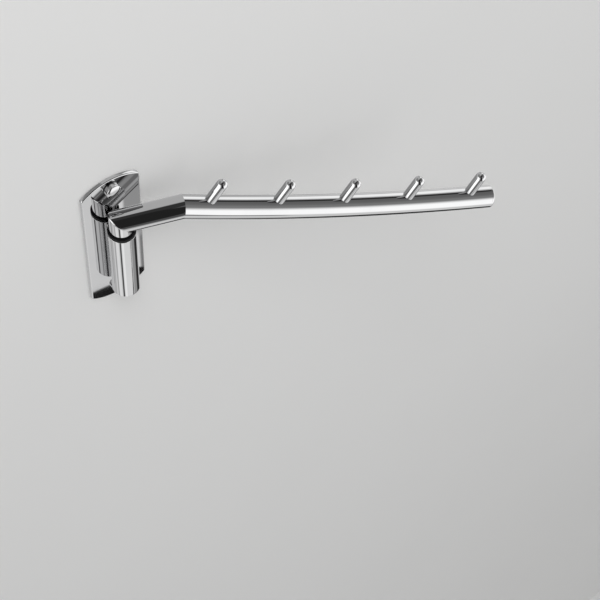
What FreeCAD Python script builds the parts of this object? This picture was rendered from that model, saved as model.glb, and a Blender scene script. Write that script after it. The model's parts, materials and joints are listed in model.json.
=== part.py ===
import FreeCAD, Part
import math
import os

from FreeCAD import Vector

os.makedirs("parts", exist_ok=True)

# Folding wall hook: an arched wall plate with a hinge barrel, and a tube arm with a row of pegs
# that swings from one side of the plate to the other.
# Millimetres. Origin at the middle of the plate's back face, +Z up, the wall behind at +Y.

# Wall plate
plate_width = 50.0
plate_height = 143.0
arch_rise = 8.5
plate_thickness = 3.0
plate_corner_radius = 2.5
plate_edge_bevel = 0.9

# Wall screws, one near each end of the plate
screw_from_end = 9.0
screw_shank_diameter = 4.8
screw_neck_diameter = 4.0
screw_neck_past_plate = 1.0
screw_length = 34.0
screw_hole_clearance = 0.2
screw_head_diameter = 12.0
screw_head_height = 5.4
screw_rim_height = 4.0
screw_head_bevel_width = 3.4
washer_diameter = 12.6
washer_thickness = 0.6

# Tube arm
tube_diameter = 19.0
tube_wall = 1.2
swing_angle = 17.7
root_length = 47.0
arm_decline = 18.0
arm_length = 281.5
arm_bow = 5.2
cap_thickness = 2.2
cap_edge_bevel = 1.1
cap_spigot_length = 6.0
cap_spigot_clearance = 0.02

# Pegs
peg_count = 5
peg_diameter = 9.0
peg_height = 20.8
peg_lean = 9.0
peg_end_bevel = 2.6
first_peg = 19.8
last_peg_from_tip = 23.8

# Hinge
barrel_diameter = 22.0
barrel_wall = 1.0
barrel_length = 71.8
barrel_screw_clearance = 6.4
barrel_gap = 0.7
weld_half_width = 4.6
weld_end_margin = 2.0
plug_thickness = 3.0
flange_thickness = 3.0
upper_sleeve_length = 14.0
lower_sleeve_length = 12.0
lower_bush_gap = 4.0
pin_diameter = 14.0
pin_shoulder_length = 8.0
pin_end_gap = 2.0
pin_running_clearance = 0.05
thrust_clearance = 0.1
elbow_clearance = 0.2

# Derived sizes
half_width = plate_width / 2
side_height = plate_height - 2 * arch_rise
screw_height = plate_height / 2 - screw_from_end
plate_front = -plate_thickness
tube_radius = tube_diameter / 2
tube_bore = tube_radius - tube_wall
barrel_radius = barrel_diameter / 2
barrel_bore = barrel_radius - barrel_wall
barrel_bottom = barrel_screw_clearance + washer_diameter / 2 - screw_height
barrel_top = barrel_bottom + barrel_length
pivot_y = plate_front - barrel_gap - barrel_radius
post_bottom = barrel_top + flange_thickness + thrust_clearance
root_height = post_bottom + elbow_clearance + tube_radius
bush_bore = pin_diameter / 2 + pin_running_clearance
bow_radius = (arm_length ** 2 / 4 + arm_bow ** 2) / (2 * arm_bow)
bow_turn = math.asin(arm_length / 2 / bow_radius)
arm_run = 2 * bow_turn * bow_radius
peg_pitch = (arm_run - first_peg - last_peg_from_tip) / (peg_count - 1)

# Directions and key points of the arm's centre line; the long arm is a shallow arc under its chord
up = Vector(0, 0, 1)
forward = Vector(0, -1, 0)
swing = math.radians(swing_angle)
decline = math.radians(arm_decline)
lean = math.radians(peg_lean)
root_direction = Vector(math.cos(swing), -math.sin(swing), 0)
chord_direction = root_direction * math.cos(decline) - up * math.sin(decline)
chord_normal = root_direction * math.sin(decline) + up * math.cos(decline)
arm_side = chord_direction.cross(chord_normal)
elbow = Vector(0, pivot_y, root_height)
bend = elbow + root_direction * root_length
bow_centre = bend + chord_direction * arm_length / 2 + chord_normal * (bow_radius - arm_bow)


def cylinder(radius, length, base, direction):
    """Solid cylinder from a base point along a direction."""
    return Part.makeCylinder(radius, length, base, direction)


def ring(outer, inner, length, base, direction):
    """Straight tube from a base point along a direction."""
    return cylinder(outer, length, base, direction).cut(cylinder(inner, length, base, direction))


def trimmed(shape, point, normal):
    """The shape without what lies beyond a plane, on the side its normal points to."""
    reach = 3 * (root_length + tube_diameter)
    block = Part.makeBox(2 * reach, 2 * reach, reach, Vector(-reach, -reach, 0))
    block.Placement = FreeCAD.Placement(point, FreeCAD.Rotation(up, normal))
    return shape.cut(block)


def turned(corners, base, direction):
    """Solid of revolution of an upright profile, set on a base point along a direction."""
    profile = Part.makePolygon(corners + corners[:1])
    solid = Part.Face(profile).revolve(Vector(0, 0, 0), up, 360)
    solid.Placement = FreeCAD.Placement(base, FreeCAD.Rotation(up, direction))
    return solid


def arm_point(distance):
    """Point of the long arm's centre line at a distance from the bend."""
    return bow_centre - arm_normal(distance) * bow_radius


def arm_tangent(distance):
    """Direction of the long arm at a distance from the bend."""
    turn = distance / bow_radius - bow_turn
    return chord_direction * math.cos(turn) + chord_normal * math.sin(turn)


def arm_normal(distance):
    """Direction square to the long arm, on its upper side, at a distance from the bend."""
    turn = distance / bow_radius - bow_turn
    return chord_normal * math.cos(turn) - chord_direction * math.sin(turn)


def bowed_rod(radius, start, end):
    """Solid round rod along the long arm's centre line between two distances from the bend."""
    edge = Part.makeCircle(radius, arm_point(start), arm_tangent(start))
    sweep = math.degrees((end - start) / bow_radius)
    return Part.Face(Part.Wire(edge)).revolve(bow_centre, arm_side, sweep)


def circle_edges(shape, centre, radius):
    """The shape's round edges with a given centre and radius."""
    found = []
    for edge in shape.Edges:
        curve = edge.Curve
        if not isinstance(curve, Part.Circle):
            continue
        if abs(curve.Radius - radius) < 1e-4 and curve.Center.distanceToPoint(centre) < 1e-4:
            found.append(edge)
    return found


def plate_outline():
    """Face of the wall plate on its back plane: straight sides between two arches."""
    left_low = Vector(-half_width, 0, -side_height / 2)
    left_high = Vector(-half_width, 0, side_height / 2)
    right_low = Vector(half_width, 0, -side_height / 2)
    right_high = Vector(half_width, 0, side_height / 2)
    crown = Vector(0, 0, plate_height / 2)
    foot = Vector(0, 0, -plate_height / 2)
    edges = [
        Part.LineSegment(left_low, left_high).toShape(),
        Part.Arc(left_high, crown, right_high).toShape(),
        Part.LineSegment(right_high, right_low).toShape(),
        Part.Arc(right_low, foot, left_low).toShape(),
    ]
    return Part.Face(Part.Wire(edges))


def wall_plate():
    """Arched plate with rounded corners, a bevelled front edge and two screw holes."""
    plate = plate_outline().extrude(forward * plate_thickness)
    corners = []
    for edge in plate.Edges:
        first = edge.Vertexes[0].Point
        last = edge.Vertexes[-1].Point
        if abs((last - first).y) > plate_thickness / 2:
            corners.append(edge)
    plate = plate.makeFillet(plate_corner_radius, corners)
    front = [edge for edge in plate.Edges if all(abs(v.Y - plate_front) < 1e-6 for v in edge.Vertexes)]
    plate = plate.makeChamfer(plate_edge_bevel, front)
    hole_radius = screw_shank_diameter / 2 + screw_hole_clearance
    for side in (1, -1):
        hole = cylinder(hole_radius, plate_thickness, Vector(0, 0, side * screw_height), forward)
        plate = plate.cut(hole)
    return plate


def screw_washer(height):
    """Flat washer on the plate's front face."""
    hole_radius = screw_shank_diameter / 2 + screw_hole_clearance
    return ring(washer_diameter / 2, hole_radius, washer_thickness, Vector(0, plate_front, height), forward)


def wall_screw(height):
    """Screw with a tall bevelled head, a slim neck through the plate and a thicker shank in the wall."""
    head_radius = screw_head_diameter / 2
    neck_radius = screw_neck_diameter / 2
    shank_radius = screw_shank_diameter / 2
    neck_end = plate_front - washer_thickness - screw_neck_past_plate
    corners = [
        Vector(0, 0, screw_head_height),
        Vector(head_radius - screw_head_bevel_width, 0, screw_head_height),
        Vector(head_radius, 0, screw_rim_height),
        Vector(head_radius, 0, 0),
        Vector(neck_radius, 0, 0),
        Vector(neck_radius, 0, neck_end),
        Vector(shank_radius, 0, neck_end),
        Vector(shank_radius, 0, -screw_length),
        Vector(0, 0, -screw_length),
    ]
    return turned(corners, Vector(0, plate_front - washer_thickness, height), forward)


def hinge_barrel():
    """Upright tube that stands just clear of the plate's front face."""
    return ring(barrel_radius, barrel_bore, barrel_length, Vector(0, pivot_y, barrel_bottom), up)


def barrel_weld():
    """Bead that fills the corner between barrel and plate on both sides of the line of contact."""
    depth = barrel_gap + barrel_radius - math.sqrt(barrel_radius ** 2 - weld_half_width ** 2)
    length = barrel_length - 2 * weld_end_margin
    base = Vector(-weld_half_width, plate_front - depth, barrel_bottom + weld_end_margin)
    bead = Part.makeBox(2 * weld_half_width, depth, length, base)
    return bead.cut(cylinder(barrel_radius, barrel_length, Vector(0, pivot_y, barrel_bottom), up))


def barrel_end_plug():
    """Disc that closes the lower end of the barrel."""
    return cylinder(barrel_bore, plug_thickness, Vector(0, pivot_y, barrel_bottom), up)


def upper_bush():
    """Sleeve in the top of the barrel with the flange that carries the arm."""
    sleeve_base = Vector(0, pivot_y, barrel_top - upper_sleeve_length)
    sleeve = ring(barrel_bore, bush_bore, upper_sleeve_length, sleeve_base, up)
    flange = ring(barrel_radius, bush_bore, flange_thickness, Vector(0, pivot_y, barrel_top), up)
    return sleeve.fuse(flange).removeSplitter()


def lower_bush():
    """Sleeve near the bottom of the barrel that steadies the end of the pin."""
    base = Vector(0, pivot_y, barrel_bottom + plug_thickness + lower_bush_gap)
    return ring(barrel_bore, bush_bore, lower_sleeve_length, base, up)


def pivot_pin():
    """Solid pin through both bushes, with a shoulder that fills the lower end of the post."""
    pin_bottom = barrel_bottom + plug_thickness + pin_end_gap
    shaft = cylinder(pin_diameter / 2, post_bottom - pin_bottom, Vector(0, pivot_y, pin_bottom), up)
    lower_edge = circle_edges(shaft, Vector(0, pivot_y, pin_bottom), pin_diameter / 2)
    shaft = shaft.makeChamfer(pin_diameter / 14, lower_edge)
    shoulder = cylinder(tube_bore, pin_shoulder_length, Vector(0, pivot_y, post_bottom), up)
    return shaft.fuse(shoulder)


def mitre_normal(before, after):
    """Normal of the plane that halves the corner between two tube directions."""
    normal = before + after
    return normal.normalize()


def pivot_post():
    """Upright tube from the flange to the mitred elbow."""
    reach = elbow.z - post_bottom + 2 * tube_diameter
    post = ring(tube_radius, tube_bore, reach, Vector(0, pivot_y, post_bottom), up)
    return trimmed(post, elbow, mitre_normal(up, root_direction))


def arm_root():
    """Level tube between the elbow and the bend, mitred at both ends."""
    start = elbow - root_direction * tube_diameter
    root = ring(tube_radius, tube_bore, root_length + 2 * tube_diameter, start, root_direction)
    root = trimmed(root, elbow, mitre_normal(up, root_direction) * -1)
    return trimmed(root, bend, mitre_normal(root_direction, arm_tangent(0)))


def arm_tube():
    """Long bowed tube that slopes down from the bend to the end cap."""
    end = arm_run - cap_thickness
    tube = bowed_rod(tube_radius, -tube_diameter, end).cut(bowed_rod(tube_bore, -tube_diameter, end))
    return trimmed(tube, bend, mitre_normal(root_direction, arm_tangent(0)) * -1)


def arm_end_cap():
    """Disc that closes the long arm, with a bevelled rim and a spigot inside the tube."""
    seat = arm_point(arm_run - cap_thickness)
    way = arm_tangent(arm_run - cap_thickness)
    disc = cylinder(tube_radius, cap_thickness, seat, way)
    disc = disc.makeChamfer(cap_edge_bevel, circle_edges(disc, seat + way * cap_thickness, tube_radius))
    spigot = cylinder(tube_bore - cap_spigot_clearance, cap_spigot_length, seat, way * -1)
    return disc.fuse(spigot)


def peg(index):
    """Round peg that leans towards the arm's tip, its foot shaped to the tube and its end bevelled."""
    distance = first_peg + index * peg_pitch
    foot = arm_point(distance)
    way = arm_normal(distance) * math.cos(lean) + arm_tangent(distance) * math.sin(lean)
    radius = peg_diameter / 2
    crown = tube_radius / math.cos(lean) + peg_height
    corners = [
        Vector(0, 0, crown),
        Vector(radius - peg_end_bevel, 0, crown),
        Vector(radius, 0, crown - peg_end_bevel),
        Vector(radius, 0, 0),
        Vector(0, 0, 0),
    ]
    tube_start = foot - arm_tangent(distance) * peg_diameter
    tube = cylinder(tube_radius, 2 * peg_diameter, tube_start, arm_tangent(distance))
    return turned(corners, foot, way).cut(tube)


nodes = {
    "wall_plate": wall_plate(),
    "upper_screw_washer": screw_washer(screw_height),
    "lower_screw_washer": screw_washer(-screw_height),
    "upper_wall_screw": wall_screw(screw_height),
    "lower_wall_screw": wall_screw(-screw_height),
    "hinge_barrel": hinge_barrel(),
    "barrel_weld": barrel_weld(),
    "barrel_end_plug": barrel_end_plug(),
    "upper_bush": upper_bush(),
    "lower_bush": lower_bush(),
    "pivot_pin": pivot_pin(),
    "pivot_post": pivot_post(),
    "arm_root": arm_root(),
    "arm_tube": arm_tube(),
    "arm_end_cap": arm_end_cap(),
}
for number in range(peg_count):
    nodes[f"peg_{number + 1}"] = peg(number)

for name, shape in nodes.items():
    shape.exportStep(f"parts/{name}.step")
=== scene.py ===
import json
import logging
import math
from dataclasses import dataclass, fields
from enum import Enum
from typing import Iterator, Sequence

import bmesh
import bpy
from mathutils import Matrix, Vector


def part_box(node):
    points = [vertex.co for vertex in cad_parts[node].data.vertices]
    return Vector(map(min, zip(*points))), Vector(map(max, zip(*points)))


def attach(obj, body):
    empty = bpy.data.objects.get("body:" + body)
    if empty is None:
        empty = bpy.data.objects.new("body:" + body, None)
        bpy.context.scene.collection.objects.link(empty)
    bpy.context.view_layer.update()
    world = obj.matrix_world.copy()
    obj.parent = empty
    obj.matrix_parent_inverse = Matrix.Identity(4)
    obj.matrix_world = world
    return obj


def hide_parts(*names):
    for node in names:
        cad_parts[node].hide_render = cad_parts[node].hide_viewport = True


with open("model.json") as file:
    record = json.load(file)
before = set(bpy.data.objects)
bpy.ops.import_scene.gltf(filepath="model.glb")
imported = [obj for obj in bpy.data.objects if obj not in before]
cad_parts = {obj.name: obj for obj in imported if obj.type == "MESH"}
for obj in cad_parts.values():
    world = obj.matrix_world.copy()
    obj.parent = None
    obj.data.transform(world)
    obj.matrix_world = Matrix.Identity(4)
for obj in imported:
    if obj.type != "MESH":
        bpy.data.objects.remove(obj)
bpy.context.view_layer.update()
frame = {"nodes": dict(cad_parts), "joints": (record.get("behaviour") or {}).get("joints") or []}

MM = 0.001
TIP_RADIUS = 0.01 * MM
RIGHT = Vector((1, 0, 0))
UP = Vector((0, 0, 1))
FLOAT = "NodeSocketFloat"
VECTOR = "NodeSocketVector"
SOCKET_KIND = {int: "NodeSocketInt", float: FLOAT, Vector: VECTOR}
Form = bmesh.types.BMesh
Material = bpy.types.Material
Mesh = bpy.types.Mesh
Node = bpy.types.Node
Socket = bpy.types.NodeSocket
Tree = bpy.types.NodeTree
Triple = tuple[float, float, float]
Ring = Sequence[bmesh.types.BMVert]
log = logging.getLogger("folding_wall_hook")


class Body(Enum):
    """The two rigid bodies of the hook."""

    BRACKET = "bracket"
    SWING_ARM = "swing_arm"


class Slot(Enum):
    """The record's material slots."""

    POLISHED = "polished_steel"
    SCREW = "screw_steel"
    WELD = "weld_steel"
    NYLON = "black_nylon"


def feed(tree: Tree, socket: Socket, value: object) -> None:
    """Link a socket to an input, or set the input's own value.

    Args:
        tree: The node tree.
        socket: The input.
        value: The socket to link, or the value to set.
    """
    if isinstance(value, Socket):
        tree.links.new(value, socket)
    else:
        socket.default_value = value


def add_node(tree: Tree, kind: str, **values: object) -> Node:
    """Add a node with its properties and inputs.

    Args:
        tree: The node tree that gets the node.
        kind: The node's type name.
        values: Node properties in lower case, or inputs with a capital and underscores for spaces.

    Returns:
        The new node.
    """
    node = tree.nodes.new(kind)
    inputs = {key.replace("_", " "): value for key, value in values.items() if key[0].isupper()}
    for key, value in values.items():
        if key[0].islower():
            setattr(node, key, value)
    for label, value in inputs.items():
        feed(tree, node.inputs[label], value)
    return node


def math_node(tree: Tree, operation: str, *operands: object) -> Socket:
    """Add a Math node.

    Args:
        tree: The node tree that gets the node.
        operation: The operation's name.
        operands: Sockets to link, or numbers to set.

    Returns:
        The node's output socket.
    """
    node = add_node(tree, "ShaderNodeMath", operation=operation)
    for socket, operand in zip(node.inputs, operands):
        feed(tree, socket, operand)
    return node.outputs[0]


def new_group(
    kind: str, name: str, inputs: dict[str, str], outputs: dict[str, str]
) -> tuple[Tree, Node, Node]:
    """Start a node group with named sockets.

    Args:
        kind: The tree's type name.
        name: The group's name.
        inputs: Socket type by input name.
        outputs: Socket type by output name.

    Returns:
        The tree, its group input node and its group output node.
    """
    tree = bpy.data.node_groups.new(name, kind)
    for way, sockets in (("INPUT", inputs), ("OUTPUT", outputs)):
        for label, socket_type in sockets.items():
            tree.interface.new_socket(label, in_out=way, socket_type=socket_type)
    return tree, tree.nodes.new("NodeGroupInput"), tree.nodes.new("NodeGroupOutput")


def object_place(tree: Tree) -> Socket:
    """Object coordinates in a tree."""
    return tree.nodes.new("ShaderNodeTexCoord").outputs["Object"]


def blended(tree: Tree, mask: Socket, colours: tuple[Triple, Triple]) -> Socket:
    """Blend two colours by a mask.

    Args:
        tree: The material's node tree.
        mask: Where the second colour shows.
        colours: The two colours.

    Returns:
        The blend's socket.
    """
    first, second = ((*colour, 1.0) for colour in colours)
    mix = add_node(tree, "ShaderNodeMix", data_type="RGBA", Factor=mask, A=first, B=second)
    return mix.outputs["Result"]


def smooth_step(tree: Tree, value: Socket, low: float, high: float) -> Socket:
    """Smooth rise from nought to one.

    Args:
        tree: The node tree that gets the node.
        value: What the rise depends on.
        low: Value where the rise starts.
        high: Value where the rise ends.

    Returns:
        The rise's socket.
    """
    step = add_node(tree, "ShaderNodeMapRange", interpolation_type="SMOOTHSTEP", From_Min=low, From_Max=high)
    tree.links.new(value, step.inputs["Value"])
    return step.outputs["Result"]


def new_material(name: str) -> tuple[Material, Tree, Node]:
    """Start a material.

    Args:
        name: The material's name.

    Returns:
        The material, its node tree and its Principled shader.
    """
    material = bpy.data.materials.new(name)
    material.use_nodes = True
    return material, material.node_tree, material.node_tree.nodes["Principled BSDF"]


class SurfaceEffects:
    """Shader node groups that more than one finish uses."""

    def __init__(self) -> None:
        """Build every group once."""
        self.haze = self._haze()
        self.relief = self._relief()

    @staticmethod
    def _haze() -> Tree:
        """Cloudy traces of handling.

        Returns:
            A group that gives a roughness between two values and the mask behind it.
        """
        inputs = {label: FLOAT for label in ("Scale", "Clean", "Hazy")}
        outputs = {label: FLOAT for label in ("Roughness", "Mask")}
        tree, source, sink = new_group("ShaderNodeTree", "handling_haze", inputs, outputs)
        size, clean, hazy = (source.outputs[label] for label in inputs)
        clouds = add_node(
            tree, "ShaderNodeTexNoise", Vector=object_place(tree), Scale=size, Detail=6.0, Roughness=0.62
        ).outputs["Fac"]
        mask = smooth_step(tree, clouds, 0.45, 0.75)
        spread = add_node(tree, "ShaderNodeMapRange", Value=mask, To_Min=clean, To_Max=hazy)
        feed(tree, sink.inputs["Roughness"], spread.outputs["Result"])
        feed(tree, sink.inputs["Mask"], mask)
        return tree

    @staticmethod
    def _relief() -> Tree:
        """Fine relief: hair lines where it is stretched, grain where it isn't.

        Returns:
            A group that gives the relief as a height.
        """
        inputs = {"Stretch": VECTOR, "Detail": FLOAT, "Roughness": FLOAT}
        tree, source, sink = new_group("ShaderNodeTree", "fine_relief", inputs, {"Height": FLOAT})
        stretch, detail, rough = (source.outputs[label] for label in inputs)
        mapping = add_node(tree, "ShaderNodeMapping", Vector=object_place(tree), Scale=stretch)
        place = mapping.outputs["Vector"]
        grain = add_node(tree, "ShaderNodeTexNoise", Vector=place, Scale=1.0, Detail=detail, Roughness=rough)
        feed(tree, sink.inputs["Height"], grain.outputs["Fac"])
        return tree


@dataclass(frozen=True)
class Finish:
    """A finish: two colours and a roughness blended by handling haze, over a fine relief."""

    name: str
    colours: tuple[Triple, Triple]
    haze_scale: float
    clean_roughness: float
    hazy_roughness: float
    stretch: Triple
    relief_depth: float
    relief_detail: float = 3.0
    relief_roughness: float = 0.55
    metallic: float = 1.0
    specular: float = 0.5

    def build(self, effects: SurfaceEffects) -> Material:
        """Build the material.

        Args:
            effects: The shared shader groups.

        Returns:
            The material.
        """
        material, tree, shader = new_material(self.name)
        haze = add_node(
            tree,
            "ShaderNodeGroup",
            node_tree=effects.haze,
            Scale=self.haze_scale,
            Clean=self.clean_roughness,
            Hazy=self.hazy_roughness,
        )
        relief = add_node(
            tree,
            "ShaderNodeGroup",
            node_tree=effects.relief,
            Stretch=self.stretch,
            Detail=self.relief_detail,
            Roughness=self.relief_roughness,
        )
        height = relief.outputs["Height"]
        bump = add_node(tree, "ShaderNodeBump", Strength=self.relief_depth, Distance=0.2 * MM, Height=height)
        shader.inputs["Metallic"].default_value = self.metallic
        shader.inputs["Specular IOR Level"].default_value = self.specular
        feed(tree, shader.inputs["Base Color"], blended(tree, haze.outputs["Mask"], self.colours))
        feed(tree, shader.inputs["Roughness"], haze.outputs["Roughness"])
        feed(tree, shader.inputs["Normal"], bump.outputs["Normal"])
        return material


@dataclass(frozen=True)
class PolishedSteel(Finish):
    """Mirror-polished stainless steel with faint haze and hair lines."""

    colours: tuple[Triple, Triple] = ((0.56, 0.56, 0.563), (0.53, 0.532, 0.538))
    haze_scale: float = 26.0
    clean_roughness: float = 0.012
    hazy_roughness: float = 0.035
    stretch: Triple = (60.0, 60.0, 2600.0)
    relief_depth: float = 0.003


@dataclass(frozen=True)
class TurnedSteel(Finish):
    """Lathe-turned steel with a fine feed pattern under a thin film."""

    colours: tuple[Triple, Triple] = ((0.66, 0.66, 0.67), (0.50, 0.48, 0.44))
    haze_scale: float = 90.0
    clean_roughness: float = 0.22
    hazy_roughness: float = 0.38
    stretch: Triple = (30.0, 30.0, 5200.0)
    relief_depth: float = 0.2


@dataclass(frozen=True)
class WeldSteel(Finish):
    """Weld metal, brushed bright with straw-coloured heat tint."""

    colours: tuple[Triple, Triple] = ((0.72, 0.71, 0.69), (0.58, 0.53, 0.46))
    haze_scale: float = 260.0
    clean_roughness: float = 0.18
    hazy_roughness: float = 0.42
    stretch: Triple = (1800.0, 1800.0, 1800.0)
    relief_depth: float = 0.25
    relief_detail: float = 4.0
    relief_roughness: float = 0.5


@dataclass(frozen=True)
class MouldedNylon(Finish):
    """Black nylon with a fine moulded texture."""

    colours: tuple[Triple, Triple] = ((0.006, 0.006, 0.0065), (0.012, 0.012, 0.0125))
    haze_scale: float = 180.0
    clean_roughness: float = 0.42
    hazy_roughness: float = 0.60
    stretch: Triple = (3200.0, 3200.0, 3200.0)
    relief_depth: float = 0.15
    relief_detail: float = 2.0
    relief_roughness: float = 0.5
    metallic: float = 0.0
    specular: float = 0.12


@dataclass(frozen=True)
class PaintedWall:
    """Pale wall paint that can be looked through from behind."""

    name: str
    colours: tuple[Triple, Triple] = ((0.86, 0.86, 0.855), (0.83, 0.83, 0.825))
    roughness: float = 0.85
    specular: float = 0.2

    def build(self) -> Material:
        """Build the material.

        Returns:
            The material.
        """
        material, tree, shader = new_material(self.name)
        shader.inputs["Roughness"].default_value = self.roughness
        shader.inputs["Specular IOR Level"].default_value = self.specular
        clouds = add_node(tree, "ShaderNodeTexNoise", Vector=object_place(tree), Scale=2.2, Detail=3.0)
        feed(tree, shader.inputs["Base Color"], blended(tree, clouds.outputs["Fac"], self.colours))
        behind = tree.nodes.new("ShaderNodeNewGeometry").outputs["Backfacing"]
        choose = add_node(tree, "ShaderNodeMixShader", Fac=behind)
        tree.links.new(shader.outputs["BSDF"], choose.inputs[1])
        tree.links.new(tree.nodes.new("ShaderNodeBsdfTransparent").outputs["BSDF"], choose.inputs[2])
        tree.links.new(choose.outputs["Shader"], tree.nodes["Material Output"].inputs["Surface"])
        return material


class FinishSet:
    """Every material of the hook, on shared shader groups."""

    def __init__(self) -> None:
        """Build the materials."""
        effects = SurfaceEffects()
        upright, level = (1800.0, 1800.0, 50.0), (50.0, 1800.0, 1800.0)
        # Near-black washer colours are painted shade: they stand in for the dark shadow gap round each screw
        # head's rim.
        black = ((0.03, 0.03, 0.032), (0.018, 0.018, 0.018))
        plate = PolishedSteel("mirror_polished_plate", hazy_roughness=0.02, relief_depth=0.0004)
        screw = PolishedSteel("polished_screw", clean_roughness=0.05, hazy_roughness=0.11)
        self.polished = plate.build(effects)
        self.barrel = PolishedSteel("mirror_polished_barrel", stretch=upright).build(effects)
        self.tube = PolishedSteel("mirror_polished_tube", stretch=level).build(effects)
        self.screw = screw.build(effects)
        self.washer = TurnedSteel("washer_painted_shade", black).build(effects)
        self.weld = WeldSteel("brushed_weld").build(effects)
        self.pin = TurnedSteel("turned_pin").build(effects)
        self.nylon = MouldedNylon("moulded_black_nylon").build(effects)


def dress(mesh: Mesh, material: Material) -> None:
    """Give a mesh its one material."""
    mesh.materials.clear()
    mesh.materials.append(material)


def add_piece(mesh: Mesh, body: Body, material: Material, replaces: Sequence[str] = ()) -> None:
    """Put a finished mesh into the scene as a piece of the hook.

    Args:
        mesh: The piece's mesh, with its place in it.
        body: The body that it rides on.
        material: Its material.
        replaces: The CAD nodes that it stands for.
    """
    dress(mesh, material)
    piece = bpy.data.objects.new(mesh.name, mesh)
    bpy.context.collection.objects.link(piece)
    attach(piece, body.value)
    if replaces:
        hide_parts(*replaces)
    log.info("%s: %d faces on %s", piece.name, len(mesh.polygons), body.value)


def dress_node(node: str, material: Material) -> None:
    """Give a carried-over CAD node its material."""
    dress(frame["nodes"][node].data, material)
    log.info("%s: solid dressed with %s", node, material.name)


def finished_mesh(name: str, form: Form) -> Mesh:
    """Turn a bmesh into a smooth mesh whose faces point outwards.

    Args:
        name: The mesh's name.
        form: The bmesh, which is freed.

    Returns:
        The mesh.
    """
    bmesh.ops.remove_doubles(form, verts=form.verts, dist=1e-7)
    bmesh.ops.recalc_face_normals(form, faces=form.faces)
    for face in form.faces:
        face.smooth = True
    mesh = bpy.data.meshes.new(name)
    form.to_mesh(mesh)
    form.free()
    return mesh


def creased(mesh: Mesh, angle: float = 35.0) -> Mesh:
    """Shade a mesh's corners sharp.

    Args:
        mesh: The mesh, which is changed.
        angle: Angle in degrees from which an edge is a corner.

    Returns:
        The same mesh.
    """
    form = bmesh.new()
    form.from_mesh(mesh)
    for edge in form.edges:
        edge.smooth = edge.calc_face_angle(0.0) < math.radians(angle)
    form.to_mesh(mesh)
    form.free()
    return mesh


def spokes(first: Vector, second: Vector, count: int) -> Iterator[Vector]:
    """Directions all round, in the plane of two directions.

    Args:
        first: The direction to start from.
        second: The direction a quarter turn on.
        count: How many directions there are.

    Returns:
        The directions, of length one.
    """
    for step in range(count):
        turn = 2 * math.pi * step / count
        yield first * math.cos(turn) + second * math.sin(turn)


def stitch(form: Form, rings: Sequence[Ring], closed: bool = False) -> None:
    """Join neighbouring rings with faces.

    Args:
        form: The bmesh that gets the faces.
        rings: Rings of equal length; a pole is one point repeated.
        closed: Whether the last ring joins the first.
    """
    pairs = list(zip(rings, rings[1:]))
    if closed:
        pairs.append((rings[-1], rings[0]))
    for low, high in pairs:
        count = len(low)
        for step in range(count):
            after = (step + 1) % count
            corners = list(dict.fromkeys((low[step], low[after], high[after], high[step])))
            if len(corners) > 2:
                form.faces.new(corners)


def eased(corners: Sequence[Triple], closed: bool) -> list[Vector]:
    """Round the corners of a profile and guard its straight runs.

    Args:
        corners: Radius, height and rounding of each corner.
        closed: Whether the profile is a loop.

    Returns:
        The profile's points as radius and height.
    """
    # The guard points keep the shading of a rounding off the straight run beside it.
    guard, steps = 0.12 * MM, 8
    count = len(corners)
    points: list[Vector] = []
    for index, (radius, height, rounding) in enumerate(corners):
        here = Vector((radius, height))
        if rounding <= 0 or (not closed and index in (0, count - 1)):
            points.append(here)
            continue
        before = (Vector(corners[index - 1][:2]) - here).normalized()
        after = (Vector(corners[(index + 1) % count][:2]) - here).normalized()
        half = before.angle(after) / 2
        reach = rounding / math.tan(half)
        centre = here + (before + after).normalized() * rounding / math.sin(half)
        first, last = here + before * reach - centre, here + after * reach - centre
        points.append(centre + first + before * guard)
        for step in range(steps + 1):
            points.append(centre + first.slerp(last, step / steps) * rounding)
        points.append(centre + last + after * guard)
    return points


def revolved(name: str, corners: Sequence[Triple], base: Vector, axis: Vector, closed: bool) -> Mesh:
    """Turn an eased profile round an axis.

    Args:
        name: The mesh's name.
        corners: Radius, height along the axis and rounding of each corner.
        base: The point at height zero.
        axis: The axis, of length one.
        closed: Whether the profile is a loop.

    Returns:
        The mesh.
    """
    segments = 128
    side = RIGHT if abs(axis.x) < 0.8 else Vector((0, 1, 0))
    first = (side - axis * side.dot(axis)).normalized()
    form = bmesh.new()
    rings = []
    for radius, height in eased(corners, closed):
        centre = base + axis * height
        if radius < 1e-9:
            rings.append([form.verts.new(centre)] * segments)
        else:
            round_way = spokes(first, axis.cross(first), segments)
            rings.append([form.verts.new(centre + spoke * radius) for spoke in round_way])
    stitch(form, rings, closed)
    return finished_mesh(name, form)


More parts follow.
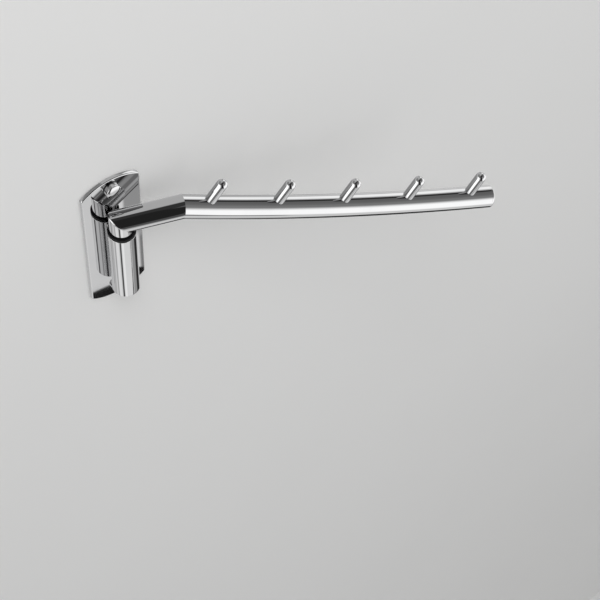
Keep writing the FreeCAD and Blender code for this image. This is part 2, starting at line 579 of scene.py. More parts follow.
@dataclass
class RuledPiece:
    """A piece whose shape a Geometry Nodes tree works out from named sizes."""

    name: str
    sizes: dict[str, int | float | Vector]

    def __post_init__(self) -> None:
        """Start the tree with its named inputs and a material."""
        sockets = {label: SOCKET_KIND[type(value)] for label, value in self.sizes.items()}
        sockets["Finish"] = "NodeSocketMaterial"
        result = {"Geometry": "NodeSocketGeometry"}
        group = new_group("GeometryNodeTree", f"{self.name}_rule", sockets, result)
        self.tree, self.source, self.sink = group

    def size(self, label: str) -> Socket:
        """The socket of a named size."""
        return self.source.outputs[label]

    def half(self, label: str) -> Socket:
        """Half of a named size."""
        return self.calc("MULTIPLY", self.size(label), 0.5)

    def index(self) -> Socket:
        """The number of each point."""
        return self.tree.nodes.new("GeometryNodeInputIndex").outputs["Index"]

    def add(self, kind: str, **values: object) -> Node:
        """Add a node with its properties and inputs."""
        return add_node(self.tree, kind, **values)

    def calc(self, operation: str, *operands: object) -> Socket:
        """The result of a Math node."""
        return math_node(self.tree, operation, *operands)

    def vector(self, x: object = 0.0, y: object = 0.0, z: object = 0.0) -> Socket:
        """A vector from three sockets or numbers."""
        return self.add("ShaderNodeCombineXYZ", X=x, Y=y, Z=z).outputs["Vector"]

    def scaled(self, vector: Socket, factor: object) -> Socket:
        """A vector times a number."""
        node = self.add("ShaderNodeVectorMath", operation="SCALE", Vector=vector, Scale=factor)
        return node.outputs["Vector"]

    def sum(self, first: Socket, second: Socket) -> Socket:
        """Add two vectors.

        Args:
            first: One vector.
            second: The other vector.

        Returns:
            The sum's socket.
        """
        node = self.tree.nodes.new("ShaderNodeVectorMath")
        for socket, vector in zip(node.inputs, (first, second)):
            self.tree.links.new(vector, socket)
        return node.outputs["Vector"]

    def choose(self, test: Socket, yes: object, no: object) -> Socket:
        """One of two numbers, by a test."""
        values = {"Switch": test, "True": yes, "False": no}
        return self.add("GeometryNodeSwitch", input_type="FLOAT", **values).outputs["Output"]

    def join(self, *parts: Socket) -> Socket:
        """Join geometries.

        Args:
            parts: The geometries.

        Returns:
            The joined geometry's socket.
        """
        node = self.tree.nodes.new("GeometryNodeJoinGeometry")
        for part in parts:
            self.tree.links.new(part, node.inputs["Geometry"])
        return node.outputs["Geometry"]

    def dome_radius(self, rim_radius: Socket, turn: Socket) -> Socket:
        """Radius of a dome at a turn up from its rim."""
        width = self.calc("MULTIPLY", rim_radius, self.calc("COSINE", turn))
        return self.calc("MAXIMUM", width, TIP_RADIUS)

    def path(self, points: int, place: Socket) -> Socket:
        """A curve through places that follow from each point's number.

        Args:
            points: How many points the curve has.
            place: Place of each point.

        Returns:
            The curve's socket.
        """
        line = self.add("GeometryNodeMeshLine", Count=points).outputs["Mesh"]
        placed = self.add("GeometryNodeSetPosition", Geometry=line, Position=place).outputs["Geometry"]
        return self.add("GeometryNodeMeshToCurve", Mesh=placed).outputs["Curve"]

    def swept(self, path: Socket, profile: Node, scale: object = 1.0) -> Socket:
        """Carry a profile along a path and close its ends.

        Args:
            path: The path's socket.
            profile: The node that makes the profile.
            scale: Scale of the profile at each point.

        Returns:
            The mesh's socket.
        """
        skin = self.add("GeometryNodeCurveToMesh", Curve=path, Scale=scale, Fill_Caps=True)
        self.tree.links.new(profile.outputs["Curve"], skin.inputs["Profile Curve"])
        return skin.outputs["Mesh"]

    def turned(self, rings: int, along: Socket, radius: Socket, sides: int) -> Socket:
        """A closed solid turned about Z.

        Args:
            rings: Points on the axis.
            along: Height of each point.
            radius: Radius at each point.
            sides: Steps round the axis.

        Returns:
            The mesh's socket.
        """
        circle = self.add("GeometryNodeCurvePrimitiveCircle", Resolution=sides, Radius=1.0)
        return self.swept(self.path(rings, self.vector(z=along)), circle, radius)

    def placed(self, points: Socket, shape: Socket, **values: object) -> Socket:
        """Put a shape on points.

        Args:
            points: The points.
            shape: The shape.
            values: Rotation or scale of the shape.

        Returns:
            The instances' socket.
        """
        node = self.add("GeometryNodeInstanceOnPoints", Points=points, Instance=shape, **values)
        return node.outputs["Instances"]

    def finish(self, result: Socket, smooth_below: float = 40.0) -> None:
        """End the tree in realized, smooth geometry with its material.

        Args:
            result: The geometry.
            smooth_below: Angle in degrees under which neighbouring faces are shaded as one.
        """
        real = self.add("GeometryNodeRealizeInstances", Geometry=result).outputs["Geometry"]
        angle = self.add("GeometryNodeInputMeshEdgeAngle").outputs["Unsigned Angle"]
        corner = self.calc("GREATER_THAN", angle, math.radians(smooth_below))
        smooth = self.add("GeometryNodeSetShadeSmooth", Geometry=real).outputs["Geometry"]
        sharp = self.add(
            "GeometryNodeSetShadeSmooth", domain="EDGE", Geometry=smooth, Selection=corner, Shade_Smooth=False
        ).outputs["Geometry"]
        dressed = self.add("GeometryNodeSetMaterial", Geometry=sharp, Material=self.size("Finish"))
        self.tree.links.new(dressed.outputs["Geometry"], self.sink.inputs["Geometry"])

    def bake(self, material: Material) -> Mesh:
        """Work the tree out.

        Args:
            material: The piece's material.

        Returns:
            The plain mesh.
        """
        carrier = bpy.data.objects.new(f"{self.name}_carrier", bpy.data.meshes.new(f"{self.name}_carrier"))
        bpy.context.collection.objects.link(carrier)
        rule = carrier.modifiers.new("rule", "NODES")
        rule.node_group = self.tree
        values = {**self.sizes, "Finish": material}
        for item in self.tree.interface.items_tree:
            if item.in_out == "INPUT":
                rule[item.identifier] = values[item.name]
        view = bpy.context.evaluated_depsgraph_get()
        mesh = bpy.data.meshes.new_from_object(carrier.evaluated_get(view))
        mesh.name = self.name
        carrier.modifiers.remove(rule)
        bpy.data.objects.remove(carrier)
        return mesh


@dataclass
class WallBracket:
    """Arched wall plate with the hinge barrel, its weld and its bushes."""

    finishes: FinishSet
    arch_rise: float = 8.5 * MM
    corner_radius: float = 2.5 * MM
    front_rounding: float = 0.9 * MM
    front_guard: float = 0.15 * MM
    back_rounding: float = 0.2 * MM
    back_guard: float = 0.2 * MM
    hole_radius: float = 2.6 * MM
    hole_guard: float = 0.3 * MM
    barrel_wall: float = 1.0 * MM
    barrel_rounding: float = 0.3 * MM
    bush_bore: float = 7.05 * MM
    sleeve_rounding: float = 0.2 * MM
    flange_thickness: float = 3.0 * MM
    flange_rounding: float = 0.5 * MM
    plug_rounding: float = 0.45 * MM
    plug_mark: float = 1.2 * MM
    mark_rounding: float = 0.3 * MM
    ripple_pitch: float = 1.5 * MM
    ripple_radius: float = 0.92 * MM
    ripple_inset: float = 0.25 * MM
    ripple_wobble: float = 0.08

    def __post_init__(self) -> None:
        """Read the places of the solids from the frame."""
        self.plate_low, self.plate_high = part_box("wall_plate")
        barrel_low, barrel_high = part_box("hinge_barrel")
        self.barrel_radius = (barrel_high.x - barrel_low.x) / 2
        self.barrel_base = Vector((0, (barrel_low.y + barrel_high.y) / 2, barrel_low.z))
        self.barrel_length = barrel_high.z - barrel_low.z

    def outline(self) -> list[tuple[Vector, Vector]]:
        """The plate's outline.

        Returns:
            Points in the plate's plane with the outward direction at each.
        """
        corner_steps, arch_steps = 12, 40
        half = self.plate_high.x
        sweep = (half ** 2 + self.arch_rise ** 2) / (2 * self.arch_rise)
        drop = self.plate_high.z - sweep
        inset = half - self.corner_radius
        corner_height = drop + math.sqrt((sweep - self.corner_radius) ** 2 - inset ** 2)
        arch_centre, corner_centre = Vector((0, drop)), Vector((inset, corner_height))
        tilt = math.atan2(corner_height - drop, inset)
        quarter: list[tuple[Vector, Vector]] = []
        for step in range(corner_steps + 1):
            way = self._way(tilt * step / corner_steps)
            quarter.append((corner_centre + way * self.corner_radius, way))
        for step in range(1, arch_steps + 1):
            way = self._way(tilt + (math.pi / 2 - tilt) * step / arch_steps)
            quarter.append((arch_centre + way * sweep, way))
        flip = Vector((-1, 1))
        upper = quarter + [(point * flip, way * flip) for point, way in reversed(quarter[:-1])]
        return upper + [(-point, -way) for point, way in upper]

    @staticmethod
    def _way(turn: float) -> Vector:
        """Direction in the plate's plane."""
        return Vector((math.cos(turn), math.sin(turn)))

    def edge(self, thickness: float) -> list[tuple[float, float]]:
        """Section of the plate's edge from back to front.

        Args:
            thickness: The plate's thickness.

        Returns:
            Inset from the outline and distance from the back at each point.
        """
        back, front = self.back_rounding, self.front_rounding
        back_steps, front_steps = 4, 10
        section = [(back + self.back_guard, 0.0)]
        for step in range(back_steps + 1):
            turn = math.pi / 2 * step / back_steps
            section.append((back * (1 - math.sin(turn)), back * (1 - math.cos(turn))))
        for step in range(front_steps + 1):
            turn = math.pi / 2 * step / front_steps
            section.append((front * (1 - math.cos(turn)), thickness - front * (1 - math.sin(turn))))
        return section + [(front + self.front_guard, thickness)]

    def plate(self) -> Mesh:
        """Plate with a rounded front edge and two screw holes.

        Returns:
            The mesh.
        """
        thickness = self.plate_high.y - self.plate_low.y
        hole_steps, guard = 48, self.hole_guard
        form = bmesh.new()
        outline = self.outline()
        rings = []
        for inset, depth in self.edge(thickness):
            spots = [point - way * inset for point, way in outline]
            rings.append([form.verts.new((spot.x, -depth, spot.y)) for spot in spots])
        stitch(form, rings)
        low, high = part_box("upper_screw_washer")
        screw_height = (low.z + high.z) / 2
        holes = []
        for height in (screw_height, -screw_height):
            wall = []
            for reach, depth in ((guard, 0.0), (0.0, 0.0), (0.0, thickness), (guard, thickness)):
                centre, radius = Vector((0, -depth, height)), self.hole_radius + reach
                round_way = spokes(RIGHT, UP, hole_steps)
                wall.append([form.verts.new(centre + spoke * radius) for spoke in round_way])
            stitch(form, wall)
            holes.append(wall)
        for side, facing in ((0, Vector((0, 1, 0))), (-1, Vector((0, -1, 0)))):
            edges = []
            for loop in [rings[side]] + [wall[side] for wall in holes]:
                edges += [form.edges.get(pair) for pair in zip(loop, loop[1:] + loop[:1])]
            bmesh.ops.triangle_fill(form, edges=edges, use_beauty=True, normal=facing)
        return finished_mesh("arched_plate", form)

    def barrel(self) -> Mesh:
        """Hinge barrel with eased rims.

        Returns:
            The mesh.
        """
        outer, inner, ease = self.barrel_radius, self.barrel_radius - self.barrel_wall, self.barrel_rounding
        top = self.barrel_length
        corners = [(outer, 0, ease), (outer, top, ease), (inner, top, ease), (inner, 0, ease)]
        return revolved("barrel_tube", corners, self.barrel_base, UP, closed=True)

    def plug(self) -> Mesh:
        """Plug in the barrel's lower end, with an eased rim and a centre mark.

        Returns:
            The mesh.
        """
        low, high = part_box("barrel_end_plug")
        radius, thickness = (high.x - low.x) / 2, high.z - low.z
        corners = [
            (0, self.plug_mark / 2, 0),
            (self.plug_mark, 0, self.mark_rounding),
            (radius, 0, self.plug_rounding),
            (radius, thickness, self.plug_rounding),
            (0, thickness, 0),
        ]
        return revolved("end_plug", corners, self.barrel_base, UP, closed=False)

    def flanged_bush(self) -> Mesh:
        """Upper bush: a sleeve in the barrel with a rounded flange on top.

        Returns:
            The mesh.
        """
        low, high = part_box("upper_bush")
        top = high.z - low.z
        seat = top - self.flange_thickness
        sleeve = self.barrel_radius - self.barrel_wall
        corners = [
            (self.bush_bore, 0, self.sleeve_rounding),
            (sleeve, 0, self.sleeve_rounding),
            (sleeve, seat, 0),
            (self.barrel_radius, seat, self.flange_rounding),
            (self.barrel_radius, top, self.flange_rounding),
            (self.bush_bore, top, self.sleeve_rounding),
        ]
        return revolved("flanged_bush", corners, Vector((0, self.barrel_base.y, low.z)), UP, closed=True)

    def weld_ripples(self) -> Mesh:
        """Ripples of the weld on both sides of the barrel, from a rule.

        Returns:
            The mesh.
        """
        low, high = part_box("barrel_weld")
        rule = RuledPiece(
            "weld_ripples",
            {
                "Half Width": high.x - self.ripple_inset,
                "Depth": (low.y + high.y) / 2,
                "Foot": low.z + self.ripple_pitch / 2,
                "Length": high.z - low.z - self.ripple_pitch,
                "Pitch": self.ripple_pitch,
                "Ripple Radius": self.ripple_radius,
            },
        )
        width, depth, foot, length, pitch, radius = (rule.size(label) for label in rule.sizes)
        count = rule.calc("ADD", rule.calc("FLOOR", rule.calc("DIVIDE", length, pitch)), 1.0)
        whole = rule.add("FunctionNodeFloatToInt", Float=count).outputs["Integer"]
        least, most = 1 - self.ripple_wobble, 1 + self.ripple_wobble
        rows = []
        for side in (1.0, -1.0):
            start = rule.vector(rule.calc("MULTIPLY", width, side), depth, foot)
            step = rule.vector(z=pitch)
            line = rule.add("GeometryNodeMeshLine", Count=whole, Start_Location=start, Offset=step)
            ball = rule.add("GeometryNodeMeshUVSphere", Segments=20, Rings=12, Radius=radius)
            wobble = rule.add("FunctionNodeRandomValue", data_type="FLOAT", Min=least, Max=most, Seed=7)
            spread = rule.vector(wobble.outputs["Value"], 0.95, 1.05)
            rows.append(rule.placed(line.outputs["Mesh"], ball.outputs["Mesh"], Scale=spread))
        rule.finish(rule.join(*rows), smooth_below=60.0)
        return rule.bake(self.finishes.weld)

    def build(self) -> None:
        """Make and dress every piece of the bracket."""
        look = self.finishes
        add_piece(self.plate(), Body.BRACKET, look.polished, ["wall_plate"])
        add_piece(self.barrel(), Body.BRACKET, look.barrel, ["hinge_barrel"])
        add_piece(self.plug(), Body.BRACKET, look.barrel, ["barrel_end_plug"])
        add_piece(self.flanged_bush(), Body.BRACKET, look.nylon, ["upper_bush"])
        add_piece(self.weld_ripples(), Body.BRACKET, look.weld)
        dress_node("barrel_weld", look.weld)
        dress_node("lower_bush", look.nylon)


@dataclass
class WallFasteners:
    """Two domed wall screws on flat washers."""

    finishes: FinishSet
    rim_height: float = 4.0 * MM
    rim_share: float = 0.12
    neck_diameter: float = 4.0 * MM
    core_diameter: float = 3.4 * MM
    thread_diameter: float = 4.8 * MM
    thread_pitch: float = 2.2 * MM
    point_length: float = 7.0 * MM
    shank_start: float = 1.0 * MM
    head_turn: float = 24.0
    washer_bore: float = 5.2 * MM
    washer_rounding: float = 0.15 * MM

    def __post_init__(self) -> None:
        """Read the places of the solids from the frame."""
        self.screw_low, self.screw_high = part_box("upper_wall_screw")
        self.washer_low, self.washer_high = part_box("upper_screw_washer")
        self.height = (self.washer_low.z + self.washer_high.z) / 2

    @staticmethod
    def on_seats(rule: RuledPiece, shape: Socket, turn: float) -> Socket:
        """Put a shape on the lower and the upper seat, facing the room.

        Args:
            rule: The tree, with the inputs Seat and Spread.
            shape: The shape, with its axis along Z.
            turn: Turn about its axis in degrees.

        Returns:
            The two shapes' socket.
        """
        spread = rule.size("Spread")
        start = rule.vector(y=rule.size("Seat"), z=rule.calc("MULTIPLY", spread, -1.0))
        step = rule.vector(z=rule.calc("MULTIPLY", spread, 2.0))
        seats = rule.add("GeometryNodeMeshLine", Count=2, Start_Location=start, Offset=step).outputs["Mesh"]
        facing = rule.add("FunctionNodeEulerToRotation", Euler=(math.pi / 2, math.radians(turn), 0.0))
        return rule.placed(seats, shape, Rotation=facing.outputs["Rotation"])

    def screws(self) -> Mesh:
        """Both screws: domed head, neck, thread and point.

        Returns:
            The mesh.
        """
        rule = RuledPiece(
            "domed_screws",
            {
                "Head Diameter": self.screw_high.x - self.screw_low.x,
                "Head Height": self.washer_low.y - self.screw_low.y,
                "Rim Height": self.rim_height,
                "Neck Diameter": self.neck_diameter,
                "Neck Length": self.shank_start - self.washer_low.y,
                "Core Diameter": self.core_diameter,
                "Thread Diameter": self.thread_diameter,
                "Thread Length": self.screw_high.y - self.shank_start,
                "Thread Pitch": self.thread_pitch,
                "Point Length": self.point_length,
                "Seat": self.washer_low.y,
                "Spread": self.height,
            },
        )
        screw = rule.join(self._head(rule), self._neck(rule), self._core(rule), self._thread(rule))
        rule.finish(self.on_seats(rule, screw, self.head_turn))
        return rule.bake(self.finishes.screw)

    def _head(self, rule: RuledPiece) -> Socket:
        """Dome on a straight rim.

        Args:
            rule: The screws' tree.

        Returns:
            The head's socket, with its seat at height zero.
        """
        rings, sides = 40, 96
        rim, radius = rule.size("Rim Height"), rule.half("Head Diameter")
        share = rule.calc("DIVIDE", rule.index(), float(rings - 1))
        dome_share = rule.calc("DIVIDE", rule.calc("SUBTRACT", share, self.rim_share), 1 - self.rim_share)
        turn = rule.calc("MULTIPLY", dome_share, math.pi / 2)
        dome = rule.calc("SUBTRACT", rule.size("Head Height"), rim)
        on_rim = rule.calc("LESS_THAN", share, self.rim_share)
        rim_along = rule.calc("MULTIPLY", rim, rule.calc("DIVIDE", share, self.rim_share))
        dome_along = rule.calc("MULTIPLY_ADD", dome, rule.calc("SINE", turn), rim)
        along = rule.choose(on_rim, rim_along, dome_along)
        width = rule.choose(on_rim, radius, rule.dome_radius(radius, turn))
        return rule.turned(rings, along, width, sides)

    @staticmethod
    def _neck(rule: RuledPiece) -> Socket:
        """Plain round neck below the head.

        Args:
            rule: The screws' tree.

        Returns:
            The neck's socket.
        """
        length, radius = rule.size("Neck Length"), rule.half("Neck Diameter")
        rod = rule.add("GeometryNodeMeshCylinder", Vertices=48, Radius=radius, Depth=length).outputs["Mesh"]
        below = rule.vector(z=rule.calc("MULTIPLY", length, -0.5))
        return rule.add("GeometryNodeTransform", Geometry=rod, Translation=below).outputs["Geometry"]

    @staticmethod
    def _run(rule: RuledPiece, points: int) -> tuple[Socket, ...]:
        """Stations from the thread's start to the point.

        Args:
            rule: The screws' tree.
            points: How many stations there are.

        Returns:
            The share of the way, the height, and the taper towards the point.
        """
        share = rule.calc("DIVIDE", rule.index(), float(points - 1))
        run = rule.calc("MULTIPLY", share, rule.size("Thread Length"))
        along = rule.calc("MULTIPLY", rule.calc("ADD", rule.size("Neck Length"), run), -1.0)
        left = rule.calc("SUBTRACT", rule.size("Thread Length"), run)
        taper = rule.calc("MINIMUM", rule.calc("DIVIDE", left, rule.size("Point Length")), 1.0)
        return share, along, taper

    def _core(self, rule: RuledPiece) -> Socket:
        """Core of the thread, tapered to the point.

        Args:
            rule: The screws' tree.

        Returns:
            The core's socket.
        """
        rings, sides = 30, 40
        _, along, taper = self._run(rule, rings)
        radius = rule.calc("MULTIPLY", rule.half("Core Diameter"), taper)
        return rule.turned(rings, along, rule.calc("MAXIMUM", radius, 2 * TIP_RADIUS), sides)

    def _thread(self, rule: RuledPiece) -> Socket:
        """Helical ridge on the core.

        Args:
            rule: The screws' tree.

        Returns:
            The thread's socket.
        """
        points, ridge_share, least_taper = 360, 0.98, 0.1
        share, along, taper = self._run(rule, points)
        core = rule.half("Core Diameter")
        ridge = rule.calc("SUBTRACT", rule.half("Thread Diameter"), core)
        turns = rule.calc("DIVIDE", rule.size("Thread Length"), rule.size("Thread Pitch"))
        turn = rule.calc("MULTIPLY", rule.calc("MULTIPLY", share, turns), 2 * math.pi)
        reach = rule.calc("MULTIPLY", core, taper)
        across, over = (rule.calc("MULTIPLY", reach, rule.calc(wave, turn)) for wave in ("COSINE", "SINE"))
        helix = rule.path(points, rule.vector(across, over, along))
        upright = rule.add("GeometryNodeSetCurveNormal", mode="Z_UP", Curve=helix).outputs["Curve"]
        width = rule.calc("MULTIPLY", ridge, ridge_share)
        profile = rule.add("GeometryNodeCurvePrimitiveCircle", Resolution=4, Radius=width)
        return rule.swept(upright, profile, rule.calc("MAXIMUM", taper, least_taper))

    def washers(self) -> Mesh:
        """Both washers: a rounded section carried round a circle.

        Returns:
            The mesh.
        """
        size = self.washer_high - self.washer_low
        rule = RuledPiece(
            "flat_washers",
            {
                "Outer Diameter": size.x,
                "Bore": self.washer_bore,
                "Thickness": size.y,
                "Rounding": self.washer_rounding,
                "Seat": (self.washer_low.y + self.washer_high.y) / 2,
                "Spread": self.height,
            },
        )
        outer, bore, thickness, rounding = (rule.size(label) for label in list(rule.sizes)[:4])
        wide = rule.calc("MULTIPLY", rule.calc("SUBTRACT", outer, bore), 0.5)
        middle = rule.calc("MULTIPLY", rule.calc("ADD", outer, bore), 0.25)
        path = rule.add("GeometryNodeCurvePrimitiveCircle", Resolution=96, Radius=middle).outputs["Curve"]
        section = rule.add("GeometryNodeCurvePrimitiveQuadrilateral", Width=wide, Height=thickness)
        rounded = rule.add("GeometryNodeFilletCurve", mode="POLY", Count=6, Radius=rounding)
        rule.tree.links.new(section.outputs["Curve"], rounded.inputs["Curve"])
        rule.finish(self.on_seats(rule, rule.swept(path, rounded), 0.0))
        return rule.bake(self.finishes.washer)

    def build(self) -> None:
        """Make and dress the screws and washers."""
        look = self.finishes
        screws, washers = (["upper_" + name, "lower_" + name] for name in ("wall_screw", "screw_washer"))
        add_piece(self.screws(), Body.BRACKET, look.screw, screws)
        add_piece(self.washers(), Body.BRACKET, look.washer, washers)


@dataclass
class SwingArm:
    """Post, root and bowed long arm of round tube with an end cap, on the pivot pin."""

    finishes: FinishSet
    tube_radius: float = 9.5 * MM
    tube_wall: float = 1.2 * MM
    swing_angle: float = 17.7
    decline: float = 18.0
    root_length: float = 47.0 * MM
    arm_length: float = 281.5 * MM
    arm_bow: float = 5.2 * MM
    elbow_easing: float = 1.2 * MM
    cap_thickness: float = 2.2 * MM
    cap_rounding: float = 1.1 * MM
    spigot_length: float = 6.0 * MM
    spigot_rounding: float = 0.4 * MM
    seat_rounding: float = 0.1 * MM
    segments: int = 160

    def __post_init__(self) -> None:
        """Work out the centre line from the hinge's place."""
        swing, fall = math.radians(self.swing_angle), math.radians(self.decline)
        self.elbow = Vector(frame["joints"][0]["pos_m"])
        self.root_way = Vector((math.cos(swing), -math.sin(swing), 0))
        self.side = UP.cross(self.root_way)
        self.chord_way = self.root_way * math.cos(fall) - UP * math.sin(fall)
        self.chord_normal = self.root_way * math.sin(fall) + UP * math.cos(fall)
        self.bend = self.elbow + self.root_way * self.root_length
        self.bow_radius = (self.arm_length ** 2 / 4 + self.arm_bow ** 2) / (2 * self.arm_bow)
        self.bow_turn = math.asin(self.arm_length / 2 / self.bow_radius)
        self.run = 2 * self.bow_turn * self.bow_radius
        middle = self.bend + self.chord_way * self.arm_length / 2
        self.bow_centre = middle + self.chord_normal * (self.bow_radius - self.arm_bow)

    def station(self, distance: float) -> tuple[Vector, Vector]:
        """A station on the long arm's centre line.

        Args:
            distance: Distance from the bend along the arm.

        Returns:
            The point and the arm's direction there.
        """
        turn = distance / self.bow_radius - self.bow_turn
        way = self.chord_way * math.cos(turn) + self.chord_normal * math.sin(turn)
        normal = self.chord_normal * math.cos(turn) - self.chord_way * math.sin(turn)
        return self.bow_centre - normal * self.bow_radius, way

    def tube(self, name: str, line: Sequence[tuple[Vector, Vector, Vector]]) -> Mesh:
        """Tube along a centre line, cut by a plane at each station.

        Args:
            name: The mesh's name.
            line: Centre, direction and cutting plane's normal of each station.

        Returns:
            The mesh.
        """
        form = bmesh.new()
        rings = [self._ring(form, self.tube_radius, *spot) for spot in line]
        rings += [self._ring(form, self.tube_radius - self.tube_wall, *spot) for spot in reversed(line)]
        stitch(form, rings, closed=True)
        return creased(finished_mesh(name, form))

    def _ring(self, form: Form, radius: float, centre: Vector, way: Vector, plane: Vector) -> Ring:
        """Round section of a tube where a plane cuts it.

        Args:
            form: The bmesh that gets the points.
            radius: The tube's radius.
            centre: Where the centre line meets the plane.
            way: The tube's direction.
            plane: The plane's normal.

        Returns:
            The section's points.
        """
        points = []
        for spoke in spokes(self.side, self.side.cross(way), self.segments):
            reach = spoke * radius
            slide = -reach.dot(plane) / way.dot(plane)
            points.append(form.verts.new(centre + reach + way * slide))
        return points

    def post_and_root(self, bend_face: Vector) -> tuple[Mesh, Mesh]:
        """Upright post and level root, mitred where they meet with an eased corner.

        Args:
            bend_face: Normal of the mitre at the root's far end.

        Returns:
            The post's mesh and the root's mesh.
        """
        half_steps = 4
        mitre = (UP + self.root_way).normalized()
        foot = Vector((self.elbow.x, self.elbow.y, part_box("pivot_post")[0].z))
        corner = []
        for step in range(2 * half_steps + 1):
            turn = math.pi / 4 * step / half_steps
            shift = self.root_way * (1 - math.cos(turn)) + UP * (math.sin(turn) - 1)
            corner.append(self.elbow + shift * self.elbow_easing)
        rise = [(place, UP, mitre) for place in corner[: half_steps + 1]]
        reach = [(place, self.root_way, mitre) for place in corner[half_steps:]]
        post = self.tube("mitred_post", [(foot, UP, UP), *rise])
        return post, self.tube("mitred_root", [*reach, (self.bend, self.root_way, bend_face)])

    def long_arm(self, bend_face: Vector) -> Mesh:
        """Bowed long arm from the bend to the cap.

        Args:
            bend_face: Normal of the mitre at the bend.

        Returns:
            The mesh.
        """
        # The stations before clear_of_mitre lie inside the slant of the mitre.
        spans, clear_of_mitre = 48, 3
        reach = self.run - self.cap_thickness
        spots = [self.station(reach * step / spans) for step in range(spans + 1)]
        line = [(*spots[0], bend_face)]
        line += [(point, way, way) for point, way in spots[clear_of_mitre:]]
        return self.tube("bowed_arm", line)

    def end_cap(self) -> Mesh:
        """Cap with a rounded rim and a spigot inside the tube.

        Returns:
            The mesh.
        """
        inner = self.tube_radius - self.tube_wall
        corners = [
            (0, -self.spigot_length, 0),
            (inner, -self.spigot_length, self.spigot_rounding),
            (inner, 0, 0),
            (self.tube_radius, 0, self.seat_rounding),
            (self.tube_radius, self.cap_thickness, self.cap_rounding),
            (0, self.cap_thickness, 0),
        ]
        base, way = self.station(self.run - self.cap_thickness)
        return creased(revolved("rounded_end_cap", corners, base, way, closed=False))

    def build(self) -> None:
        """Make and dress every piece of the arm."""
        bend_face = (self.root_way + self.station(0.0)[1]).normalized()
        post, root = self.post_and_root(bend_face)
        arm, cap = self.long_arm(bend_face), self.end_cap()
        for mesh, node in ((post, "pivot_post"), (root, "arm_root"), (arm, "arm_tube"), (cap, "arm_end_cap")):
            add_piece(mesh, Body.SWING_ARM, self.finishes.tube, [node])
        dress_node("pivot_pin", self.finishes.pin)


@dataclass
class PegRow:
    """Row of round pegs with domed ends that lean a little towards the arm's tip."""

    arm: SwingArm
    diameter: float = 9.0 * MM
    height: float = 20.8 * MM
    lean: float = 9.0
    dome_height: float = 4.4 * MM
    first: float = 19.8 * MM
    last_from_tip: float = 23.8 * MM
    sunk: float = 0.3 * MM

    def mesh(self, count: int) -> Mesh:
        """All pegs from one rule: stations on the arm's arc, each with a turned peg.

        Args:
            count: How many pegs the arm carries.

        Returns:
            The pegs' mesh.
        """
        arm, lean = self.arm, math.radians(self.lean)
        foot = math.sqrt(arm.tube_radius ** 2 - (self.diameter / 2) ** 2) - self.sunk
        pitch = (arm.run - self.first - self.last_from_tip) / (count - 1)
        rule = RuledPiece(
            "peg_row",
            {
                "Count": count,
                "Bow Centre": arm.bow_centre,
                "Bow Radius": arm.bow_radius,
                "Chord Direction": arm.chord_way,
                "Chord Normal": arm.chord_normal,
                "First Turn": self.first / arm.bow_radius - arm.bow_turn,
                "Step Turn": pitch / arm.bow_radius,
                "Lean": lean,
                "Foot Height": foot,
                "Diameter": self.diameter,
                "Length": arm.tube_radius / math.cos(lean) + self.height - foot,
                "Dome Height": self.dome_height,
            },
        )
        turn = rule.calc("MULTIPLY_ADD", rule.index(), rule.size("Step Turn"), rule.size("First Turn"))
        outward = rule.calc("MULTIPLY", rule.size("Bow Radius"), -1.0)
        station = rule.sum(rule.size("Bow Centre"), rule.scaled(self._spoke(rule, turn), outward))
        way = self._spoke(rule, rule.calc("SUBTRACT", turn, rule.size("Lean")))
        place = rule.sum(station, rule.scaled(way, rule.size("Foot Height")))
        line = rule.add("GeometryNodeMeshLine", Count=rule.size("Count")).outputs["Mesh"]
        feet = rule.add("GeometryNodeSetPosition", Geometry=line, Position=place).outputs["Geometry"]
        aim = rule.add("FunctionNodeAlignRotationToVector", axis="Z", Vector=way).outputs["Rotation"]
        rule.finish(rule.placed(feet, self._peg(rule), Rotation=aim))
        return rule.bake(arm.finishes.tube)

    @staticmethod
    def _spoke(rule: RuledPiece, turn: Socket) -> Socket:
        """Direction from the arc towards its centre.

        Args:
            rule: The pegs' tree.
            turn: Turn from the middle of the arc.

        Returns:
            The direction's socket.
        """
        upward = rule.scaled(rule.size("Chord Normal"), rule.calc("COSINE", turn))
        back = rule.calc("MULTIPLY", rule.calc("SINE", turn), -1.0)
        return rule.sum(upward, rule.scaled(rule.size("Chord Direction"), back))

    @staticmethod
    def _peg(rule: RuledPiece) -> Socket:
        """One peg: a straight rod, a small eased shoulder and a dome.

        Args:
            rule: The pegs' tree.

        Returns:
            The peg's socket, with its foot at height zero.
        """
        rod_rings, dome_rings, sides, shoulder_share = 2, 22, 72, 0.05
        step, radius = rule.index(), rule.half("Diameter")
        rim = rule.calc("SUBTRACT", rule.size("Length"), rule.size("Dome Height"))
        on_dome = rule.calc("DIVIDE", rule.calc("SUBTRACT", step, float(rod_rings)), dome_rings - 1.0)
        turn = rule.calc("MULTIPLY", rule.calc("MAXIMUM", on_dome, 0.0), math.pi / 2)
        dome = rule.calc("MULTIPLY_ADD", rule.size("Dome Height"), rule.calc("SINE", turn), rim)
        below_rim = rule.calc("SUBTRACT", rim, rule.calc("MULTIPLY", radius, shoulder_share))
        is_foot, is_rod = (rule.calc("LESS_THAN", step, ring) for ring in (0.5, 1.5))
        along = rule.choose(is_foot, 0.0, rule.choose(is_rod, below_rim, dome))
        return rule.turned(rod_rings + dome_rings, along, rule.dome_radius(radius, turn), sides)

    def build(self) -> None:
        """Make and dress the pegs."""
        pegs = sorted(name for name in frame["nodes"] if name.startswith("peg_"))
        add_piece(self.mesh(len(pegs)), Body.SWING_ARM, self.arm.finishes.tube, pegs)


